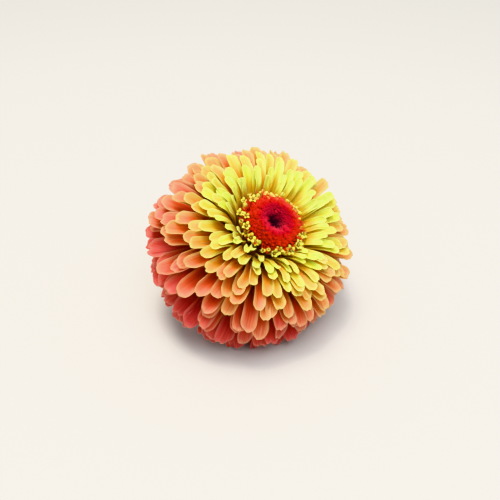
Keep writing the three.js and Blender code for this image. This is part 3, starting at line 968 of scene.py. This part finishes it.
class ZINNIA_OT_chaff(bpy.types.Operator):
    """Adds the red cushion of fringed bracts with its dark dimple"""

    bl_idname = "zinnia.chaff"
    bl_label = "Disc chaff"

    def execute(self, context):
        disc = context.scene.zinnia_disc
        heap = Heap()
        rings = np.linspace(1, 0.04, 24) * disc.radius
        profile = np.array([CUSHION_FOOT] + [(r, float(cushion_height(disc, r))) for r in rings])
        points, faces = lathe(profile, LATHE_SIDES)
        out = np.repeat(profile[:, 0] / disc.radius, LATHE_SIDES)
        # The cushion itself, under the bracts, takes the full painted shade.
        heap.add(points, faces, out=out, height=0.0, tone=0.0)
        for k in range(disc.chaff):
            add_cushion_bract(heap, disc, k)
        for k in range(disc.flank_chaff):
            add_flank_bract(heap, disc, k)
        material = chaff_material(context.scene.zinnia_colours)
        heap.piece("disc_chaff_red", material, "disc_chaff", "red_chaff")
        return {"FINISHED"}


# Rings of a floret's tube: how far up it, the radius in mm, and how light it is painted. The last one is
# in its throat. The tube is darker towards its foot among the chaff and darkest in its throat: painted
# shade.
TUBE_RINGS = np.array(
    [
        (0, 0.5, 0),
        (0.35, 0.5, 0.25),
        (0.7, 0.55, 0.55),
        (0.88, 0.68, 0.68),
        (1.0, 0.8, 0.75),
        (0.94, 0.5, 0.05),
    ]
)
TUBE_SIDES = 10
FLORET_FOOT = np.array([10.0, 0, 14.6]) * MM
FLORET_MOUTHS = np.array([(12.9, 23.2), (13.9, 21.8)]) * MM
LOBES = 5
LOBE_ROWS, LOBE_COLUMNS = 8, 5
LOBE_HALF_WIDTH = 0.6 * MM
LOBE_HALF_THICKNESS = 0.16 * MM
LOBE_TROUGH = 0.24 * MM
LOBE_SINK = 0.1 * MM
MOUTH_RADIUS = 0.62 * MM
BUD_PINCH = 0.6 * MM
MOST_BEND = math.pi * 0.62
COLUMN_RADII = np.array([0.3, 0.28, 0.12]) * MM
COLUMN_SIDES = 7


def add_lobe(heap, disc, floret, lobe):
    """Adds a lobe, which rises from the mouth's rim and bends over, or in a bud closes over the mouth."""
    seed = floret.key * LOBES + lobe
    around = 2 * math.pi * lobe / LOBES + 0.6 * draw(floret.key, 34) + 0.3 * draw(seed, 40)
    right = np.array([0.0, 1.0, 0.0])
    outward = math.cos(around) * np.cross(right, floret.ahead) + math.sin(around) * right
    aside = np.cross(floret.ahead, outward)
    reach = disc.floret_mouth * floret.size * (0.98 + 0.24 * draw(seed, 35)) - 0.3 * MM
    s = np.linspace(0, 1, LOBE_ROWS)[:, None]
    v = np.linspace(-1, 1, LOBE_COLUMNS)[None, :]
    bent = floret.openness * (0.55 + 0.45 * s) * MOST_BEND
    spread = np.cumsum(np.sin(bent), axis=0) / LOBE_ROWS * reach - (1 - floret.openness) * BUD_PINCH * s
    rise = np.cumsum(np.cos(bent), axis=0) / LOBE_ROWS * reach
    half_width = floret.size * (LOBE_HALF_WIDTH * np.clip(1 - s**2, 0, 1) ** 0.6 + 0.04 * MM)
    middle = (
        floret.top
        + (MOUTH_RADIUS * floret.size + spread)[..., None] * outward
        + (rise + LOBE_TROUGH * v**2 - LOBE_SINK)[..., None] * floret.ahead
        + (half_width * v)[..., None] * aside
    )
    points = blade(middle, np.full(middle.shape[:2], LOBE_HALF_THICKNESS))
    heap.add(
        turned_about_axis(points, floret.turn),
        blade_faces(LOBE_ROWS, LOBE_COLUMNS),
        height=0.78 + 0.22 * both_faces(np.broadcast_to(s, (LOBE_ROWS, LOBE_COLUMNS))),
        tone=draw(floret.key, 33),
    )


def add_floret(heap, disc, k):
    """Adds a floret: a slim tube with five felted lobes, open, half open or still gathered in a bud."""
    wander = np.array([0.7 * draw(k, 31) - 0.1, 0.9 * draw(k, 37) - 0.1]) * MM
    mouth_radius, mouth_height = FLORET_MOUTHS[k % 2] + wander
    top = np.array([mouth_radius, 0.5 * MM * draw(k, 32), mouth_height])
    floret = SimpleNamespace(
        key=k,
        turn=2 * math.pi * (k + 0.2 * draw(k, 7)) / disc.florets,
        top=top,
        ahead=(top - FLORET_FOOT) / np.linalg.norm(top - FLORET_FOOT),
        size=1.02 + 0.24 * draw(k, 38),
        openness=float(np.clip(0.5 + 0.5 * draw(k, 39), 0.06, 0.95)),
    )
    places, radii, lightness_and_shade = TUBE_RINGS.T
    centres = FLORET_FOOT + places[:, None] * (top - FLORET_FOOT)
    points, faces = spindle(centres, radii * floret.size * MM, TUBE_SIDES, axis=floret.ahead)
    tube_heights = np.repeat(lightness_and_shade, TUBE_SIDES)
    heap.add(turned_about_axis(points, floret.turn), faces, height=tube_heights, tone=draw(k, 33))
    for lobe in range(LOBES):
        add_lobe(heap, disc, floret, lobe)
    # A slim column of anthers stands in an open mouth.
    column = top + np.array([[-0.4], [0.35], [0.9 * floret.openness]]) * MM * floret.ahead
    points, faces = spindle(column, COLUMN_RADII, COLUMN_SIDES, axis=floret.ahead)
    column_heights = np.repeat([0.2, 0.35, 0.55], COLUMN_SIDES)
    heap.add(turned_about_axis(points, floret.turn), faces, height=column_heights, tone=draw(k, 36))


class ZINNIA_OT_florets(bpy.types.Operator):
    """Adds the ring of open yellow florets round the disc"""

    bl_idname = "zinnia.florets"
    bl_label = "Open florets"

    def execute(self, context):
        disc = context.scene.zinnia_disc
        heap = Heap()
        plate = np.array([(10.6, 14.3), (10.8, 14.6), (10.6, 15.2), (2.0, 15.3)]) * MM
        points, faces = lathe(plate, LATHE_SIDES)
        heap.add(points, faces, height=0.0, tone=0.0)
        for k in range(disc.florets):
            add_floret(heap, disc, k)
        material = floret_material(context.scene.zinnia_colours)
        heap.piece("open_florets_yellow", material, "open_disc_florets", "open_florets")
        return {"FINISHED"}


# ---- cup and stem ----

CUP_PROFILE = np.array([(2.7, -28.6), (6.4, -26.8), (9.8, -23.4), (11.6, -18.8), (12.0, -14.5)]) * MM
SCALE_ROWS = (
    SimpleNamespace(scales=9, foot=0.04, tip=0.42),
    SimpleNamespace(scales=12, foot=0.2, tip=0.6),
    SimpleNamespace(scales=15, foot=0.38, tip=0.78),
    SimpleNamespace(scales=17, foot=0.55, tip=0.97),
)
SCALE_GRID = 13, 11
SCALE_HALF_WIDTH = 0.62  # of the spacing between the scales of a row
SCALE_HALF_THICKNESS = 0.28 * MM


def on_cup(where):
    """Radius, height and slope of the cup's outside, by share of the way up its profile."""
    reach = np.clip(where, 0, 0.999) * (len(CUP_PROFILE) - 1)
    steps = np.arange(len(CUP_PROFILE))
    r = np.interp(reach, steps, CUP_PROFILE[:, 0])
    z = np.interp(reach, steps, CUP_PROFILE[:, 1])
    slopes = np.arctan2(np.diff(CUP_PROFILE[:, 1]), np.diff(CUP_PROFILE[:, 0]))
    slope = np.interp(reach, steps[:-1] + 0.5, slopes)
    return r, z, slope


def add_scale(heap, greens, row, row_number, k):
    """Adds a broad, round-tipped scale that hugs the cup and frays at its tip."""
    spacing = 2 * math.pi / row.scales
    key = 100 * row_number + k
    turn = spacing * (k + 0.5 * (row_number % 2) + 0.12 * draw(key, 41))
    rows, columns = SCALE_GRID
    s = np.linspace(0, 1, rows)
    v = np.sin(np.linspace(-0.5, 0.5, columns) * math.pi)
    fray = 0.03 * np.array([draw(key * 13 + j, 42) for j in range(columns)])
    stop = 1 - 0.32 * (1 - np.sqrt(np.clip(1 - np.abs(v) ** 2.2, 0, 1))) + fray * (1 - v**2)
    u = s[:, None] * stop[None, :]
    v = np.broadcast_to(v, u.shape)
    r, z, slope = on_cup(lerp(row.foot, row.tip, u))
    lift = lerp(-0.3 * MM, greens.scale_lift, smoothstep(u, 0, 1)) + 0.18 * MM * (1 - v**2) * u
    half_angle = SCALE_HALF_WIDTH * spacing * lerp(0.75, 1, smoothstep(u, 0, 0.6))
    r = r + np.sin(slope) * lift
    z = z - np.cos(slope) * lift
    around = turn - half_angle * v
    points = np.stack([r * np.cos(around), r * np.sin(around), z], axis=-1)
    half_thickness = SCALE_HALF_THICKNESS * np.sqrt(np.clip(1 - v**4, 0, 1))
    heap.add(
        blade(points, half_thickness),
        blade_faces(rows, columns),
        along=both_faces(u),
        across=both_faces(v),
        tone=draw(key, 43),
    )


class ZINNIA_OT_cup(bpy.types.Operator):
    """Adds the green cup and its overlapping scales"""

    bl_idname = "zinnia.cup"
    bl_label = "Cup of scales"

    def execute(self, context):
        greens = context.scene.zinnia_greens
        heap = Heap()
        where = np.linspace(0, 0.999, 20)
        r, z, _ = on_cup(where)
        points, faces = lathe(np.stack([r, z], axis=1), LATHE_SIDES)
        heap.add(points, faces, along=0.3, across=0.0, tone=-0.5)
        for row_number, row in enumerate(SCALE_ROWS):
            for k in range(row.scales):
                add_scale(heap, greens, row, row_number, k)
        material = scale_material(context.scene.zinnia_colours)
        heap.piece("involucre_scales", material, "involucre", "cup_scales")
        return {"FINISHED"}


STEM_RIBS = 9
STEM_RIB_HEIGHT = 0.3 * MM
STEM_SIDES = 72
HAIR_RADII = np.array([0.07, 0.05, 0.015]) * MM


class ZINNIA_OT_stem(bpy.types.Operator):
    """Adds the ribbed, hairy stem, cut off where it meets the surface"""

    bl_idname = "zinnia.stem"
    bl_label = "Stem"

    def execute(self, context):
        greens = context.scene.zinnia_greens
        pose = context.scene.zinnia_pose
        turns = 2 * np.pi * np.arange(STEM_SIDES) / STEM_SIDES
        rib = 0.5 + 0.5 * np.cos(turns * STEM_RIBS)
        low = -pose.height / math.cos(pose.lean)

        def ring(radius_share, where):
            """Points round the stem between its cut, where the surface lies, and its top."""
            radius = lerp(greens.stem_radius_cut, greens.stem_radius_top, where)
            radius = radius + STEM_RIB_HEIGHT * (rib - 0.5)
            x, y = radius * radius_share * np.cos(turns), radius * radius_share * np.sin(turns)
            cut = low - y * math.tan(pose.lean)
            return np.stack([x, y, lerp(cut, greens.stem_top, where)], axis=-1)

        heap = Heap()
        wheres = np.linspace(0, 1, 16)
        # The cut is flat, with a pale pith inside the green skin.
        rings = [ring(part, 0.0) for part in (0.05, 0.5, 0.86)] + [ring(1.0, w) for w in wheres]
        rings += [ring(part, 1.0) for part in (0.5, 0.05)]
        rows = len(rings)
        cut = np.zeros((rows, STEM_SIDES))
        cut[:3] = 1.0
        ribs = np.broadcast_to(rib, (rows, STEM_SIDES))
        heap.add(np.concatenate(rings), tube_faces(rows, STEM_SIDES), hair=0.0, rib=ribs, cut=cut)
        for k in range(greens.hairs):
            where = 0.5 + 0.5 * draw(k, 51)
            side = int((0.5 + 0.5 * draw(k, 52)) * (STEM_SIDES - 1))
            root = ring(0.98, where)[side]
            out = np.array([math.cos(turns[side]), math.sin(turns[side]), 0.45 * draw(k, 53)])
            tall = greens.hair_length * (0.75 + 0.3 * draw(k, 54))
            droop = np.array([0, 0, -0.25 * tall])
            centres = [root, root + out * 0.5 * tall, root + out * tall + droop]
            points, faces = spindle(centres, HAIR_RADII, 3)
            heap.add(points, faces, hair=1.0, rib=0.0, cut=0.0)
        material = stem_material(context.scene.zinnia_colours)
        heap.piece("stem_ribbed", material, "stem", "stem", floor=True)
        return {"FINISHED"}


# ---- stage ----

# Metres to the camera's right, straight up, and nearer to the camera, from the point that it aims at.
KEY_PLACE = (-0.1, 0.68, 0.02)
FILL_PLACE = (0.15, 0.45, 0.45)


class ZINNIA_OT_stage(bpy.types.Operator):
    """Adds the floor, the soft light and the camera"""

    bl_idname = "zinnia.stage"
    bl_label = "Stage"

    def execute(self, context):
        scene = context.scene
        stage = scene.zinnia_stage
        half = stage.floor_size / 2
        corners = [(-half, -half, 0), (half, -half, 0), (half, half, 0), (-half, half, 0)]
        mesh = bpy.data.meshes.new("floor")
        mesh.from_pydata(corners, [], [(0, 1, 2, 3)])
        mesh.materials.append(floor_material(scene.zinnia_colours))
        floor = bpy.data.objects.new("floor", mesh)
        scene.collection.objects.link(floor)

        a, e = stage.azimuth, stage.elevation
        back = Vector((math.sin(a) * math.cos(e), -math.cos(a) * math.cos(e), math.sin(e)))
        right = Vector((math.cos(a), math.sin(a), 0))
        up = back.cross(right)
        target = Vector((0, 0, scene.zinnia_pose.height)) + stage.aim_right * right + stage.aim_up * up
        camera = bpy.data.objects.new("camera", bpy.data.cameras.new("camera"))
        camera.data.lens = stage.focal
        camera.data.clip_start = 0.01
        camera.location = target + stage.distance * back
        camera.rotation_euler = back.to_track_quat("Z", "Y").to_euler()
        scene.collection.objects.link(camera)
        scene.camera = camera

        lamps = (
            ("key", stage.key, stage.key_size, KEY_PLACE, "#FFF8EC"),
            ("fill", stage.fill, stage.fill_size, FILL_PLACE, "#FAFBFF"),
        )
        for name, power, size, (to_right, overhead, nearer), tint in lamps:
            light = bpy.data.lights.new(name, "AREA")
            light.shape = "DISK"
            light.size = size
            light.energy = power
            light.color = linear(tint)[:3]
            lamp = bpy.data.objects.new(name, light)
            place = to_right * right + overhead * Vector((0, 0, 1)) + nearer * back
            lamp.location = target + place
            lamp.rotation_euler = place.to_track_quat("Z", "Y").to_euler()
            scene.collection.objects.link(lamp)

        world = bpy.data.worlds.new("sky")
        world.use_nodes = True
        sky = world.node_tree.nodes["Background"]
        sky.inputs["Color"].default_value = linear("#EEF2F6")
        sky.inputs["Strength"].default_value = stage.sky
        scene.world = world
        # Colours come out as the hex values say, with only the brightest lights rolled off.
        scene.view_settings.view_transform = "Khronos PBR Neutral"
        return {"FINISHED"}


class ZINNIA_PT_panel(bpy.types.Panel):
    """Lists the flower's pieces"""

    bl_label = "Zinnia"
    bl_idname = "ZINNIA_PT_panel"
    bl_space_type = "VIEW_3D"
    bl_region_type = "UI"
    bl_category = "Zinnia"

    def draw(self, context):
        for operator in OPERATORS:
            self.layout.operator(operator.bl_idname)
        for name in SETTINGS:
            box = self.layout.box()
            settings = getattr(context.scene, name)
            for key in settings.bl_rna.properties.keys():
                if key not in ("rna_type", "name"):
                    box.prop(settings, key)


OPERATORS = (
    ZINNIA_OT_stage,
    ZINNIA_OT_stem,
    ZINNIA_OT_cup,
    ZINNIA_OT_receptacle,
    ZINNIA_OT_petals,
    ZINNIA_OT_florets,
    ZINNIA_OT_chaff,
)
SETTINGS = {
    "zinnia_pose": ZinniaPose,
    "zinnia_bloom": ZinniaBloom,
    "zinnia_disc": ZinniaDisc,
    "zinnia_greens": ZinniaGreens,
    "zinnia_colours": ZinniaColours,
    "zinnia_stage": ZinniaStage,
}


def register():
    for cls in (*SETTINGS.values(), *OPERATORS, ZINNIA_PT_panel):
        bpy.utils.register_class(cls)
    for name, group in SETTINGS.items():
        setattr(bpy.types.Scene, name, PointerProperty(type=group))


def unregister():
    for name in SETTINGS:
        delattr(bpy.types.Scene, name)
    for cls in (ZINNIA_PT_panel, *reversed(OPERATORS), *SETTINGS.values()):
        bpy.utils.unregister_class(cls)


def main():
    register()
    bpy.ops.zinnia.stage()
    bpy.ops.zinnia.stem()
    bpy.ops.zinnia.cup()
    bpy.ops.zinnia.receptacle()
    bpy.ops.zinnia.petals()
    bpy.ops.zinnia.florets()
    bpy.ops.zinnia.chaff()


if __name__ == "__main__":
    main()
